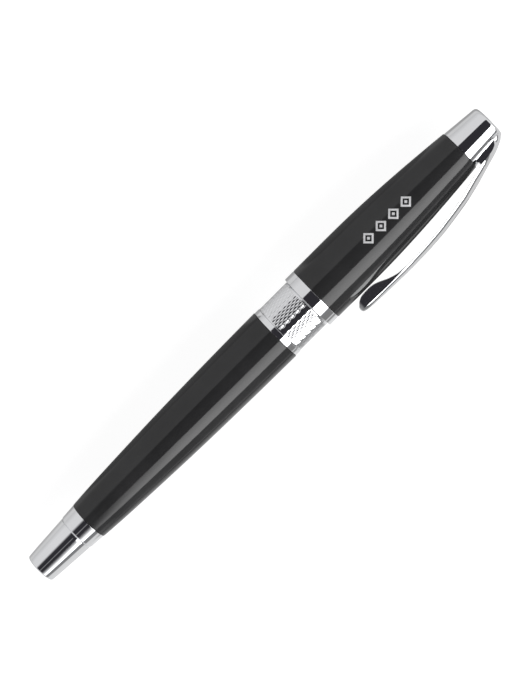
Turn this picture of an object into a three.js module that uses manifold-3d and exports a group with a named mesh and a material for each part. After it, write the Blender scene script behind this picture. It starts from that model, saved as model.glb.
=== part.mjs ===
// Rollerball pen with a push-on cap, lying on its side, as separate solids.
// Millimetres, +Z up. The pen's own axis runs along X: tail end at low X, crown at high X.
// Pen coordinates: x along the pen, r from the pen axis; the clip points to -Y.
import * as THREE from "three";
import { mergeVertices } from "three/addons/utils/BufferGeometryUtils.js";
import Module from "manifold-3d";

const wasm = await Module();
wasm.setup();

// ---------- driving dimensions ----------
const X_TAIL = 0.62; // tail end face
const X_END = 138.0; // crown end face
const X_COLLAR = 11.95; // tail collar starts
const X_BARREL = 15.75; // black barrel starts
const X_RING = 73.1; // trim ring starts
const X_BAND = 74.5; // engraved centre band starts
const X_MOUTH = 82.8; // cap mouth plane, front shoulder of the band
const X_CAP = 85.55; // black cap starts
const X_CROWN = 129.1; // chrome crown starts
const R_CAP = 6.93; // largest radius of the cap
const R_LIP = 6.9; // cap lip ring
const R_BARREL = 6.48; // barrel at the trim ring
const R_RING = 6.37; // trim ring
const R_BAND = 6.26; // centre band
const R_CROWN_IN = 4.87; // crown at the cap
const R_CROWN_OUT = 4.16; // crown at its end face, before the rounded edge
const CLIP_OUT = 10.86; // clip's outer face from the pen axis, at its highest
const REFILL_REAR = 13.0; // rear end of the refill
const REFILL_R = 3.1;
const TIP_X = 124.03; // front of the writing ball
const BALL_R = 0.35;
const GAP = 0.05; // between pieces that are pressed or glued together
const N_OUT = 32, // sides of the outer turned pieces
  N_MID = 24,
  N_IN = 16;
const ROLL = 0; // degrees the pen is rolled about its own axis

// ---------- helpers ----------
const bare = (g) => {
  const c = g.index ? g.toNonIndexed() : g;
  const b = new THREE.BufferGeometry();
  b.setAttribute("position", c.getAttribute("position"));
  return mergeVertices(b, 1e-4);
};
const solid = (g) => {
  const m = bare(g);
  return new wasm.Manifold(
    new wasm.Mesh({
      numProp: 3,
      vertProperties: new Float32Array(m.attributes.position.array),
      triVerts: new Uint32Array(m.index.array),
    }),
  );
};
const geometryOf = (s) => {
  const m = s.getMesh();
  const n = m.numProp;
  const v = new Float32Array(m.numVert * 3);
  for (let i = 0; i < m.numVert; i++)
    v.set(m.vertProperties.subarray(i * n, i * n + 3), i * 3);
  const g = new THREE.BufferGeometry();
  g.setAttribute("position", new THREE.BufferAttribute(v, 3));
  g.setIndex(new THREE.BufferAttribute(new Uint32Array(m.triVerts), 1));
  g.computeVertexNormals();
  return g;
};
// Turned solid about X from (x, r) points. A profile that touches the axis starts and ends
// there; any other closes on itself. r is measured to the middle of the flats.
function turned(points, sides) {
  const onAxis = points[0][1] === 0;
  const k = 1 / Math.cos(Math.PI / sides);
  let pts = points.map(([x, r]) => new THREE.Vector2(r * k, x));
  let area = 0;
  pts.forEach((p, i) => {
    const q = pts[(i + 1) % pts.length];
    area += p.x * q.y - q.x * p.y;
  });
  if (area < 0) pts = pts.reverse();
  if (!onAxis) pts.push(pts[0].clone());
  const g = new THREE.LatheGeometry(pts, sides, Math.PI / sides);
  g.rotateZ(-Math.PI / 2); // lathe axis Y becomes X
  return bare(g);
}
// Flat outline (u, v) extruded by w along the third direction, centred on zero.
function slab(outline, w) {
  const s = new THREE.Shape(outline.map(([u, v]) => new THREE.Vector2(u, v)));
  const g = new THREE.ExtrudeGeometry(s, { depth: w, bevelEnabled: false });
  g.translate(0, 0, -w / 2);
  return g;
}
const paint = (color, roughness, metalness) =>
  new THREE.MeshStandardMaterial({ color, roughness, metalness });
const BLACK = paint(0x1c1c1e, 0.18, 0.0);
const CHROME = paint(0xd6d8dc, 0.08, 1.0);
const BRASS = paint(0xb99a55, 0.35, 1.0);
const STEEL = paint(0xb8bbc0, 0.25, 1.0);
const PLASTIC = paint(0x2a2a2d, 0.5, 0.0);
const WHITE = paint(0xe6e6e2, 0.5, 0.0);
const INK = paint(0x10131f, 0.7, 0.0);

const pen = new THREE.Group();
const add = (parent, name, geometry, material) => {
  const m = new THREE.Mesh(geometry, material.clone());
  m.name = name;
  parent.add(m);
  return m;
};

// ---------- barrel ----------
const barrel = new THREE.Group();
pen.add(barrel);
add(barrel, "barrel_shell", turned([
  [X_BARREL, 4.76], [19, 5.0], [29.9, 5.51], [40.9, 5.94], [51.8, 6.2],
  [62.7, 6.38], [X_RING - GAP, R_BARREL], [X_RING - GAP, 5.36], [60, 5.36],
  [59.9, 5.22], [51.8, 5.2], [40.9, 4.98], [29.9, 4.6], [21.2, 4.16], [20.7, 3.95],
  [X_BARREL, 3.95],
], N_OUT), BLACK);
add(barrel, "barrel_trim_ring", turned([
  [X_RING, 5.36], [X_RING, 6.25], [X_RING + 0.2, R_RING], [X_BAND - 0.25, R_RING],
  [X_BAND - GAP, 6.25], [X_BAND - GAP, 5.36],
], N_OUT), CHROME);
add(barrel, "center_band", turned([
  [X_BAND, 5.36], [X_BAND, R_BAND], [X_BAND + 0.45, R_BAND], [X_BAND + 0.6, R_BAND - 0.1],
  [X_MOUTH - 0.65, R_BAND - 0.1], [X_MOUTH - 0.5, R_BAND], [X_MOUTH - GAP, R_BAND],
  [X_MOUTH - GAP, 5.36],
], N_OUT), CHROME);
add(barrel, "barrel_thread_insert", turned([
  [60.1, 4.76], [60.1, 5.28], [X_MOUTH - 0.1, 5.28], [X_MOUTH - 0.1, 4.76],
], N_OUT), BRASS);

// ---------- tail ----------
add(barrel, "tail_collar", turned([
  [X_COLLAR, 3.95], [X_COLLAR, 4.36], [X_COLLAR + 0.12, 4.47], [X_BARREL - GAP, 4.71],
  [X_BARREL - GAP, 3.95],
], N_OUT), CHROME);
add(barrel, "tail_plug", turned([
  [X_TAIL, 0], [X_TAIL, 3.3], [X_TAIL + 0.1, 3.48], [X_TAIL + 0.35, 3.6], [1.6, 3.68],
  [4.6, 3.9], [8.1, 4.12], [11.4, 4.31], [11.55, 4.2], [11.55, 3.2], [5.5, 3.2], [5.5, 0],
], N_OUT), CHROME);
add(barrel, "tail_bush", turned([
  [5.6, 2.68], [5.6, 3.15], [11.65, 3.15], [11.65, 3.85], [20.6, 3.85],
  [20.6, 3.3], [12.6, 3.3], [12.6, 2.68],
], N_MID), CHROME);

// compression spring in the tail, pressing the refill forward
class Helix extends THREE.Curve {
  getPoint(t, target = new THREE.Vector3()) {
    const turns = 5.5, r = 2.15, x0 = 5.85, x1 = REFILL_REAR - 0.35;
    const a = t * turns * 2 * Math.PI;
    return target.set(x0 + (x1 - x0) * t, r * Math.cos(a), r * Math.sin(a));
  }
}
const wire = new THREE.Shape();
for (let i = 0; i < 6; i++) {
  const a = (i * Math.PI) / 3;
  wire[i ? "lineTo" : "moveTo"](0.22 * Math.cos(a), 0.22 * Math.sin(a));
}
wire.closePath();
add(barrel, "refill_spring", bare(new THREE.ExtrudeGeometry(wire, {
  steps: 66, extrudePath: new Helix(), bevelEnabled: false,
})), STEEL);

// ---------- refill ----------
const refill = new THREE.Group();
pen.add(refill);
add(refill, "refill_tube", turned([
  [REFILL_REAR, 2.82], [REFILL_REAR, REFILL_R], [103.9, REFILL_R], [103.9, 2.82],
], N_MID), STEEL);
add(refill, "refill_end_plug", turned([
  [13.1, 0], [13.1, 2.76], [16, 2.76], [16, 0],
], N_MID), WHITE);
add(refill, "ink_reservoir", turned([
  [17, 0], [17, 2.74], [100.2, 2.74], [100.2, 0],
], N_IN), INK);
add(refill, "refill_nose", turned([
  [101, 0.76], [101, 2.76], [103.95, 2.76], [103.95, REFILL_R], [106, REFILL_R],
  [106, 2.6], [116.2, 1.95], [117.9, 1.8], [117.9, 0.76],
], N_MID), PLASTIC);
add(refill, "refill_feed", turned([
  [100.5, 0], [100.5, 0.65], [115.8, 0.65], [115.8, 0],
], N_IN), WHITE);
add(refill, "tip_cone", turned([
  [116, 0], [116, 0.7], [118.0, 0.7], [118.0, 1.25], [120.6, 1.25],
  [123.0, 0.62], [123.78, 0.49], [123.78, 0.4], [123.25, 0.4], [123.25, 0],
], N_IN), STEEL);
const ball = new THREE.IcosahedronGeometry(BALL_R, 2);
ball.translate(TIP_X - BALL_R, 0, 0);
add(refill, "writing_ball", bare(ball), STEEL);

// ---------- grip section ----------
const section = new THREE.Group();
pen.add(section);
add(section, "section_thread_sleeve", turned([
  [66, 3.95], [66, 4.5], [66.3, 4.64], [96, 4.64], [96, 3.95],
], N_MID), BRASS);
add(section, "section_shoulder_ring", turned([
  [X_MOUTH + 0.08, 4.72], [X_MOUTH + 0.08, 5.45], [X_MOUTH + 0.2, 5.55],
  [85.25, 5.55], [85.4, 5.4], [85.4, 4.72],
], N_OUT), CHROME);
add(section, "grip_section", turned([
  [87.55, 4.72], [87.55, 5.3], [87.8, 5.45], [90, 5.38], [95, 5.12], [100, 4.88],
  [105, 4.7], [108.5, 4.66], [110.8, 4.76], [112, 4.62], [112, 3.98], [107.8, 3.98],
  [107.8, 3.34], [96.15, 3.34], [96.15, 4.72],
], N_OUT), BLACK);
add(section, "nose_cone", turned([
  [108, 3.34], [108, 3.9], [112.1, 3.9], [112.1, 4.42], [112.5, 4.42],
  [116, 3.2], [119.2, 2.08], [119.6, 1.85], [119.6, 1.5], [118.25, 1.5],
  [118.25, 2.1], [112.5, 3.34],
], N_OUT), CHROME);

// split spring ring that the cap snaps over, in the groove behind the grip
const ringSolid = solid(turned([
  [85.6, 5.02], [85.6, 5.45], [86.1, 5.62], [86.9, 5.62], [87.4, 5.45], [87.4, 5.02],
], N_OUT));
const ringCut = new THREE.BoxGeometry(3, 1.6, 1.2);
ringCut.translate(86.5, 5.4, 0);
add(section, "clutch_ring", geometryOf(ringSolid.subtract(solid(ringCut))), STEEL);

// ---------- cap ----------
const cap = new THREE.Group();
pen.add(cap);
add(cap, "cap_lip_ring", turned([
  [X_MOUTH + 0.08, 5.72], [X_MOUTH + 0.08, 6.8], [X_MOUTH + 0.2, R_LIP],
  [X_CAP - 0.07, R_LIP], [X_CAP - 0.07, 6.03], [89.5, 6.03], [89.5, 5.72],
], N_OUT), CHROME);
add(cap, "cap_shell", turned([
  [X_CAP, 6.08], [X_CAP, R_CAP], [97.3, R_CAP], [101.5, 6.86], [105.8, 6.72],
  [110.1, 6.52], [114.4, 6.25], [118.7, 5.94], [122.9, 5.59], [127.2, 5.2],
  [X_CROWN - GAP, 5.02], [X_CROWN - GAP, 3.86], [127.9, 3.86], [127.9, 4.26],
  [122, 4.78], [118.7, 5.06], [114.4, 5.36], [110.1, 5.62], [105.8, 5.78],
  [97, 5.86], [89.6, 5.86], [89.6, 6.08],
], N_OUT), BLACK);
add(cap, "inner_cap", turned([
  [113.8, 4.06], [113.8, 4.6], [119.5, 4.6], [122.5, 3.75], [130.5, 3.75],
  [130.5, 1.2], [129.8, 1.2], [129.8, 3.22], [117.4, 3.22], [116.4, 4.06],
], N_MID), PLASTIC);
add(cap, "crown_screw", turned([
  [129.0, 0], [129.0, 1.7], [129.2, 1.9], [129.75, 1.9], [129.75, 1.0],
  [134.4, 1.0], [134.6, 0.8], [134.6, 0],
], N_IN), STEEL);

// ---------- clip ----------
const CLIP_OUTER = [
  [89.9, 9.7], [90.05, 10.0], [90.45, 10.2], [91.2, 10.38], [92.95, 10.55], [95.1, 10.66],
  [97.25, 10.74], [99.4, 10.8], [102.6, CLIP_OUT], [105.85, 10.81], [108, 10.75],
  [110.15, 10.64], [112.3, 10.48], [114.4, 10.28], [116.6, 10.02], [118.7, 9.71],
  [120.85, 9.37], [123, 9.0], [125.1, 8.53], [127.3, 7.99], [129.4, 7.36], [131.5, 6.75],
  [133.65, 6.1], [134.75, 5.7], [135.8, 5.27], [136.85, 4.66], [137.35, 4.15],
];
const CLIP_INNER = [
  [130.05, 5.8], [127.2, 6.5], [125, 7.1], [121.8, 7.93], [118.6, 8.53], [115.4, 9.1],
  [112.2, 9.48], [108.9, 9.73], [105.7, 9.84], [103.5, 9.78], [101.4, 9.6], [100.2, 9.32],
  [99.3, 9.02], [98.4, 8.64], [97.5, 8.18], [96.6, 7.76], [95.6, 7.44], [94.3, 7.3],
  [93.0, 7.32], [92.1, 7.44], [91.5, 7.64], [90.9, 8.02], [90.35, 8.55], [89.98, 9.02],
];
const CLIP_ROOT = [
  [137.35, 3.62], [135.5, 3.62], [135.5, 2.3], [131.1, 2.3], [131.1, 2.72],
  [133.2, 2.72], [133.2, 3.62], [131.0, 3.62], [131.0, 4.05], [130.05, 4.05],
];
const CLIP_HALF_WIDTH = [
  [89.8, 0.52], [90.0, 0.74], [90.5, 0.88], [91.4, 0.96], [93.5, 1.0], [96, 1.1],
  [98.5, 1.24], [102, 1.46], [107, 1.67], [113, 1.81], [120, 1.91], [127, 1.93],
  [132.6, 1.93], [133.3, 2.12], [134.2, 2.46], [135.2, 2.61], [137.5, 2.69],
];
// plan outline (x, half width) of the clip, widened by g and lengthened by g at both ends
const plan = (g, x0, x1) => {
  const inside = CLIP_HALF_WIDTH.filter(([x]) => x >= x0 && x <= x1);
  const upper = inside.map(([x, w], i) => [
    x + (i === 0 ? -g : i === inside.length - 1 ? g : 0), w + g,
  ]);
  return [...upper.map(([x, w]) => [x, -w]), ...upper.reverse()];
};
// slab of plan outline standing along Y, for cutting the clip and its slot
const planSolid = (outline, y0, y1) => {
  const g = slab(outline, y1 - y0); // outline in x, z once turned
  g.rotateX(Math.PI / 2);
  g.translate(0, (y0 + y1) / 2, 0);
  return solid(g);
};
const clipSide = slab(
  [...CLIP_OUTER, ...CLIP_ROOT, ...CLIP_INNER].map(([x, r]) => [x, -r]), 7);
const tangTrim = planSolid([[129, -1.4], [137, -1.4], [137, 1.4], [129, 1.4]], -3.62, -1);
const bodyTrim = planSolid(plan(0, 89.7, 137.6), -12, -3.62);
add(cap, "clip", geometryOf(solid(clipSide).intersect(bodyTrim.add(tangTrim))), CHROME);

// ---------- crown ----------
const crownBody = solid(turned([
  [X_END, 0], [X_END, 3.36], [137.9, 3.72], [137.6, 4.0], [137.2, R_CROWN_OUT],
  [X_CROWN + 0.2, R_CROWN_IN], [X_CROWN + 0.02, 4.78], [X_CROWN + 0.02, 3.9],
  [130.7, 3.9], [130.7, 3.46], [136.2, 3.46], [136.2, 0],
], N_OUT));
const slot = planSolid(
  [[129.75, -2.19], [132.8, -2.2], [133.3, -2.4], [134.2, -2.73], [135.2, -2.88],
   [137.65, -2.96], [137.65, 2.96], [135.2, 2.88], [134.2, 2.73], [133.3, 2.4],
   [132.8, 2.2], [129.75, 2.19]], -7, -3.3);
const tangSlot = planSolid([[130.8, -1.7], [135.9, -1.7], [135.9, 1.7], [130.8, 1.7]], -4, -1);
add(cap, "cap_crown", geometryOf(crownBody.subtract(slot).subtract(tangSlot)), CHROME);
const coreBody = solid(turned([
  [130.6, 1.1], [130.6, 3.4], [136.1, 3.4], [136.1, 1.1],
], N_MID));
const coreFlat = new THREE.BoxGeometry(10, 4, 10);
coreFlat.translate(133, -2.02 - 2, 0);
add(cap, "crown_core", geometryOf(coreBody.subtract(solid(coreFlat))), BRASS);

// ---------- placement: box bottom centre at the origin ----------
pen.rotation.x = THREE.MathUtils.degToRad(ROLL);
const root = new THREE.Group();
root.add(pen);
pen.position.set(-(X_END + X_TAIL) / 2, (CLIP_OUT - R_CAP) / 2, R_CAP);

export default root;
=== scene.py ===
import math

import bmesh
import bpy
import numpy as np
from mathutils import Matrix, Vector

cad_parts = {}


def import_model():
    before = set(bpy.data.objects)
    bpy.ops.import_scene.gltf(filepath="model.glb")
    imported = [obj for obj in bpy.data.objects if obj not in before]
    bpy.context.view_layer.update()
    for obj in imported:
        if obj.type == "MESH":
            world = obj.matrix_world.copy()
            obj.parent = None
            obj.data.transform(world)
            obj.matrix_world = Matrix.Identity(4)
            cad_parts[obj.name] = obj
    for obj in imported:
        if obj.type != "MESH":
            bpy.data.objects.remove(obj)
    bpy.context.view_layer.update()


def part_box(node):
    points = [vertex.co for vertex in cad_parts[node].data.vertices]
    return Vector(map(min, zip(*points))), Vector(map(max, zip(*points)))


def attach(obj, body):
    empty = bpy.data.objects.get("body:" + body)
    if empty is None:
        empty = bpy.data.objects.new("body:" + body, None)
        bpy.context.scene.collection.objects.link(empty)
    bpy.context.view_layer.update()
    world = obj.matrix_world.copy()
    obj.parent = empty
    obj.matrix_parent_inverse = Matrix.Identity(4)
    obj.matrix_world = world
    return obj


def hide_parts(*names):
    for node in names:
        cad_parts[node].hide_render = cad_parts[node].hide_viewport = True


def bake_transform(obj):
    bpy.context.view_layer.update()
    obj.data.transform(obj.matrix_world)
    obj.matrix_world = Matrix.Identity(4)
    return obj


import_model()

MM = 0.001

# ------------------------------------------------------------------ the pen's own frame
# x runs along the pen, with the crown's end face at 138; y and z are measured from the pen's axis,
# all in millimetres; the clip points to -y. Everything is placed from the CAD boxes.
_lo, _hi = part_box("tail_plug")
X0, AY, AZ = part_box("cap_crown")[1].x - 138 * MM, (_lo.y + _hi.y) / 2, (_lo.z + _hi.z) / 2


def world(x, y, z):
    return (X0 + x * MM, AY + y * MM, AZ + z * MM)


def col(r, g, b):
    """8-bit display colour to linear."""
    def f(c):
        c /= 255
        return c / 12.92 if c <= 0.04045 else ((c + 0.055) / 1.055) ** 2.4
    return (f(r), f(g), f(b), 1.0)


# ------------------------------------------------------------------ curves and profiles
def spline(points, n):
    """n points on a natural cubic through the given (x, r) points."""
    x = np.array([p[0] for p in points], float)
    y = np.array([p[1] for p in points], float)
    h = np.diff(x)
    m = len(x)
    a = np.zeros((m, m))
    b = np.zeros(m)
    a[0, 0] = a[-1, -1] = 1
    for i in range(1, m - 1):
        a[i, i - 1], a[i, i], a[i, i + 1] = h[i - 1], 2 * (h[i - 1] + h[i]), h[i]
        b[i] = 3 * ((y[i + 1] - y[i]) / h[i] - (y[i] - y[i - 1]) / h[i - 1])
    c = np.linalg.solve(a, b)
    out = []
    for t in np.linspace(x[0], x[-1], n):
        i = min(max(np.searchsorted(x, t) - 1, 0), m - 2)
        d = t - x[i]
        bb = (y[i + 1] - y[i]) / h[i] - h[i] * (2 * c[i] + c[i + 1]) / 3
        dd = (c[i + 1] - c[i]) / (3 * h[i])
        out.append((float(t), float(y[i] + bb * d + c[i] * d * d + dd * d ** 3)))
    return out


def pchip(points):
    """Monotone cubic interpolant through (x, y) points, as a function."""
    x = np.array([p[0] for p in points], float)
    y = np.array([p[1] for p in points], float)
    h = np.diff(x)
    s = np.diff(y) / h
    d = np.zeros(len(x))
    d[0], d[-1] = s[0], s[-1]
    for i in range(1, len(x) - 1):
        if s[i - 1] * s[i] > 0:
            w1, w2 = 2 * h[i] + h[i - 1], h[i] + 2 * h[i - 1]
            d[i] = (w1 + w2) / (w1 / s[i - 1] + w2 / s[i])

    def f(t):
        t = min(max(t, x[0]), x[-1])
        i = min(max(int(np.searchsorted(x, t)) - 1, 0), len(x) - 2)
        u = (t - x[i]) / h[i]
        return float(
            y[i] * (1 + 2 * u) * (1 - u) ** 2 + y[i + 1] * u * u * (3 - 2 * u)
            + h[i] * (d[i] * u * (1 - u) ** 2 - d[i + 1] * u * u * (1 - u)))
    return f


def rounded(corners, steps=5):
    """Profile of (x, r[, fillet radius]) corners; a corner with a third number is rounded."""
    out = []
    n = len(corners)
    for i, c in enumerate(corners):
        if len(c) < 3 or c[2] <= 0:
            out.append((c[0], c[1]))
            continue
        p = np.array(c[:2], float)
        a = np.array(corners[i - 1][:2], float) - p
        b = np.array(corners[(i + 1) % n][:2], float) - p
        la, lb = np.linalg.norm(a), np.linalg.norm(b)
        a, b = a / la, b / lb
        half = math.acos(max(-1, min(1, float(a @ b)))) / 2
        if half > 1.55:
            out.append((c[0], c[1]))
            continue
        cut = min(c[2] / math.tan(half), la * 0.48, lb * 0.48)
        rad = cut * math.tan(half)
        centre = p + (a + b) / np.linalg.norm(a + b) * (rad / math.sin(half))
        s, e = p + a * cut - centre, p + b * cut - centre
        a0, a1 = math.atan2(s[1], s[0]), math.atan2(e[1], e[0])
        turn = (a1 - a0 + math.pi) % (2 * math.pi) - math.pi
        for k in range(steps + 1):
            t = a0 + turn * k / steps
            out.append((float(centre[0] + rad * math.cos(t)),
                        float(centre[1] + rad * math.sin(t))))
    return out


# ------------------------------------------------------------------ mesh helpers
def finish_mesh(name, verts, faces, sharp=32.0, weighted=True):
    me = bpy.data.meshes.new(name)
    me.from_pydata(verts, [], faces)
    me.validate()
    bm = bmesh.new()
    bm.from_mesh(me)
    bmesh.ops.remove_doubles(bm, verts=bm.verts, dist=1e-7)
    bmesh.ops.recalc_face_normals(bm, faces=bm.faces)
    bm.to_mesh(me)
    bm.free()
    me.polygons.foreach_set("use_smooth", [True] * len(me.polygons))
    me.set_sharp_from_angle(angle=math.radians(sharp))
    ob = bpy.data.objects.new(name, me)
    bpy.context.scene.collection.objects.link(ob)
    if weighted:
        m = ob.modifiers.new("face weighted normals", "WEIGHTED_NORMAL")
        m.mode = "FACE_AREA"
        m.weight = 50
        m.keep_sharp = True
    return ob


def turned_mesh(profile, segs, wobble=None):
    """Vertices and faces of a solid turned about the pen's axis. wobble(x, a, r) may change r."""
    pts = list(profile)
    area = sum(pts[i][0] * pts[(i + 1) % len(pts)][1] - pts[(i + 1) % len(pts)][0] * pts[i][1]
               for i in range(len(pts)))
    if area > 0:
        pts = pts[::-1]
    axis_first, axis_last = pts[0][1] == 0, pts[-1][1] == 0
    verts, rings = [], []
    for x, r in pts:
        if r == 0:
            rings.append([len(verts)] * segs)
            verts.append(world(x, 0, 0))
            continue
        ring = []
        for j in range(segs):
            a = 2 * math.pi * j / segs
            rr = wobble(x, a, r) if wobble else r
            ring.append(len(verts))
            verts.append(world(x, rr * math.cos(a), rr * math.sin(a)))
        rings.append(ring)
    faces = []
    count = len(rings)
    last = count - 1 if (axis_first and axis_last) else count
    for i in range(last):
        p, q = rings[i], rings[(i + 1) % count]
        for j in range(segs):
            k = (j + 1) % segs
            f = [p[j], p[k], q[k], q[j]]
            f = [v for n, v in enumerate(f) if v not in f[:n]]
            if len(f) >= 3:
                faces.append(f)
    return verts, faces


def turned(name, profile, segs=128, wobble=None, sharp=32.0):
    return finish_mesh(name, *turned_mesh(profile, segs, wobble), sharp=sharp)


def cut(ob, cutter):
    m = ob.modifiers.new("slot", "BOOLEAN")
    m.operation, m.object, m.solver = "DIFFERENCE", cutter, "EXACT"
    bake_modifiers(ob, cutter)


def join_solid(ob, other):
    m = ob.modifiers.new("join", "BOOLEAN")
    m.operation, m.object, m.solver = "UNION", other, "EXACT"
    bake_modifiers(ob, other)


def bake_modifiers(ob, gone):
    """Applies the boolean just added, keeping the weighted normals for last."""
    for m in [m for m in ob.modifiers if m.type == "WEIGHTED_NORMAL"]:
        ob.modifiers.remove(m)
    dg = bpy.context.evaluated_depsgraph_get()
    me = bpy.data.meshes.new_from_object(ob.evaluated_get(dg))
    me.name = ob.name
    ob.modifiers.clear()
    old = ob.data
    ob.data = me
    bpy.data.meshes.remove(old)
    bpy.data.objects.remove(gone)
    me.polygons.foreach_set("use_smooth", [True] * len(me.polygons))
    me.set_sharp_from_angle(angle=math.radians(32))
    m = ob.modifiers.new("face weighted normals", "WEIGHTED_NORMAL")
    m.mode, m.weight, m.keep_sharp = "FACE_AREA", 50, True


# ------------------------------------------------------------------ materials
class Mat:
    """A node material with a Principled shader and procedural inputs."""

    def __init__(self, name):
        self.m = bpy.data.materials.new(name)
        self.m.use_nodes = True
        self.t = self.m.node_tree
        self.p = self.t.nodes["Principled BSDF"]
        self.co = self.t.nodes.new("ShaderNodeTexCoord").outputs["Object"]

    def set(self, **kw):
        for k, v in kw.items():
            self.p.inputs[k.replace("_", " ")].default_value = v
        return self

    def scaled(self, sx, sy, sz):
        n = self.t.nodes.new("ShaderNodeMapping")
        n.inputs["Scale"].default_value = (sx, sy, sz)
        self.t.links.new(self.co, n.inputs["Vector"])
        return n.outputs["Vector"]

    def noise(self, scale, detail=3.0, rough=0.5, vec=None, distortion=0.0):
        n = self.t.nodes.new("ShaderNodeTexNoise")
        n.inputs["Scale"].default_value = scale
        n.inputs["Detail"].default_value = detail
        n.inputs["Roughness"].default_value = rough
        n.inputs["Distortion"].default_value = distortion
        self.t.links.new(vec or self.co, n.inputs["Vector"])
        return n.outputs["Fac"]

    def ramp(self, fac, stops):
        n = self.t.nodes.new("ShaderNodeValToRGB")
        e = n.color_ramp.elements
        while len(e) < len(stops):
            e.new(0.5)
        for k, (pos, c) in enumerate(stops):
            e[k].position = pos
            e[k].color = c
        self.t.links.new(fac, n.inputs["Fac"])
        return n.outputs["Color"]

    def remap(self, fac, a, b, lo, hi):
        n = self.t.nodes.new("ShaderNodeMapRange")
        for k, v in zip(("From Min", "From Max", "To Min", "To Max"), (a, b, lo, hi)):
            n.inputs[k].default_value = v
        self.t.links.new(fac, n.inputs["Value"])
        return n.outputs["Result"]

    def math(self, op, a, b=None):
        n = self.t.nodes.new("ShaderNodeMath")
        n.operation = op
        for k, v in enumerate((a, b)):
            if v is None:
                continue
            if isinstance(v, (int, float)):
                n.inputs[k].default_value = v
            else:
                self.t.links.new(v, n.inputs[k])
        return n.outputs["Value"]

    def bump(self, height, strength, distance):
        n = self.t.nodes.new("ShaderNodeBump")
        n.inputs["Strength"].default_value = strength
        n.inputs["Distance"].default_value = distance
        self.t.links.new(height, n.inputs["Height"])
        self.t.links.new(n.outputs["Normal"], self.p.inputs["Normal"])
        return self

    def link(self, out, name):
        self.t.links.new(out, self.p.inputs[name])
        return self


def lacquer(name, base, rough=(0.05, 0.10), level=0.5):
    m = Mat(name).set(IOR=1.5, Specular_IOR_Level=level)
    tone = m.noise(140, 3, 0.55)
    m.link(m.ramp(tone, [(0.3, tuple(c * 0.86 for c in base[:3]) + (1,)),
                         (0.7, tuple(c * 1.14 for c in base[:3]) + (1,))]), "Base Color")
    # handling haze: soft patches, and hairlines that run round and along the pen
    haze = m.noise(60, 4, 0.6)
    hair = m.noise(1, 2, 0.5, m.scaled(220, 5200, 5200))
    mix = m.math("ADD", m.math("MULTIPLY", haze, 0.7), m.math("MULTIPLY", hair, 0.3))
    m.link(m.remap(mix, 0.3, 0.7, *rough), "Roughness")
    peel = m.noise(900, 2, 0.5)
    m.bump(peel, 0.05, 0.00002)
    return m.m


def plated(name, base, rough=(0.035, 0.085), bump=0.05):
    m = Mat(name).set(Metallic=1.0)
    tone = m.noise(90, 3, 0.5)
    m.link(m.ramp(tone, [(0.3, tuple(c * 0.965 for c in base[:3]) + (1,)),
                         (0.7, tuple(min(1, c * 1.02) for c in base[:3]) + (1,))]),
           "Base Color")
    haze = m.noise(170, 4, 0.6)
    hair = m.noise(1, 3, 0.5, m.scaled(7000, 260, 260))  # polishing marks run round the pen
    mix = m.math("ADD", m.math("MULTIPLY", haze, 0.55), m.math("MULTIPLY", hair, 0.45))
    m.link(m.remap(mix, 0.3, 0.7, *rough), "Roughness")
    m.bump(hair, bump, 0.00001)
    return m.m


def brushed(name, base, rough=(0.2, 0.34), bump=0.25):
    m = Mat(name).set(Metallic=1.0)
    line = m.noise(1, 4, 0.6, m.scaled(9000, 240, 240))
    m.link(m.ramp(line, [(0.25, tuple(c * 0.8 for c in base[:3]) + (1,)),
                         (0.75, tuple(min(1, c * 1.1) for c in base[:3]) + (1,))]),
           "Base Color")
    m.link(m.remap(line, 0.25, 0.75, *rough), "Roughness")
    m.bump(line, bump, 0.00002)
    return m.m


def moulded(name, base, rough=(0.38, 0.5), bump=0.2, grain=2600):
    m = Mat(name).set(IOR=1.49)
    tone = m.noise(160, 4, 0.55)
    m.link(m.ramp(tone, [(0.3, tuple(c * 0.9 for c in base[:3]) + (1,)),
                         (0.7, tuple(min(1, c * 1.1) for c in base[:3]) + (1,))]),
           "Base Color")
    g = m.noise(grain, 3, 0.6)
    m.link(m.remap(g, 0.3, 0.7, *rough), "Roughness")
    m.bump(g, bump, 0.00003)
    return m.m


M_LACQUER = lacquer("black_lacquer", (0.0262, 0.0262, 0.0268, 1), level=0.42)
M_GRIP = lacquer("grip_black", (0.022, 0.022, 0.023, 1), rough=(0.07, 0.13), level=0.42)
M_CHROME = plated("chrome_plate", (0.93, 0.935, 0.95, 1))
M_CLIP = plated("clip_chrome", (0.94, 0.945, 0.955, 1), rough=(0.03, 0.07))
M_BAND = plated("engraved_chrome", (0.93, 0.935, 0.95, 1), rough=(0.05, 0.1), bump=0.02)
M_BRASS = brushed("turned_brass", (0.74, 0.56, 0.27, 1))
M_STEEL = brushed("drawn_steel", (0.62, 0.63, 0.65, 1))
M_REFILL = brushed("refill_steel", (0.7, 0.71, 0.73, 1), rough=(0.24, 0.36))
M_BALL = plated("carbide_ball", (0.5, 0.51, 0.53, 1), rough=(0.1, 0.2))
M_DARK = moulded("dark_plastic", (0.03, 0.03, 0.033, 1))
M_WHITE = moulded("white_plastic", (0.78, 0.78, 0.74, 1))
M_INK = moulded("ink_fibre", (0.01, 0.014, 0.05, 1), rough=(0.6, 0.85), bump=0.6, grain=1400)


def imprint_material():
    m = Mat("silver_imprint").set(Metallic=0.25, IOR=1.45)
    g = m.noise(3200, 3, 0.6)
    m.link(m.ramp(g, [(0.3, (0.66, 0.66, 0.67, 1)), (0.7, (0.80, 0.80, 0.81, 1))]),
           "Base Color")
    m.link(m.remap(g, 0.3, 0.7, 0.42, 0.6), "Roughness")
    m.bump(g, 0.2, 0.00001)
    return m.m


M_IMPRINT = imprint_material()

made = []


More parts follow.
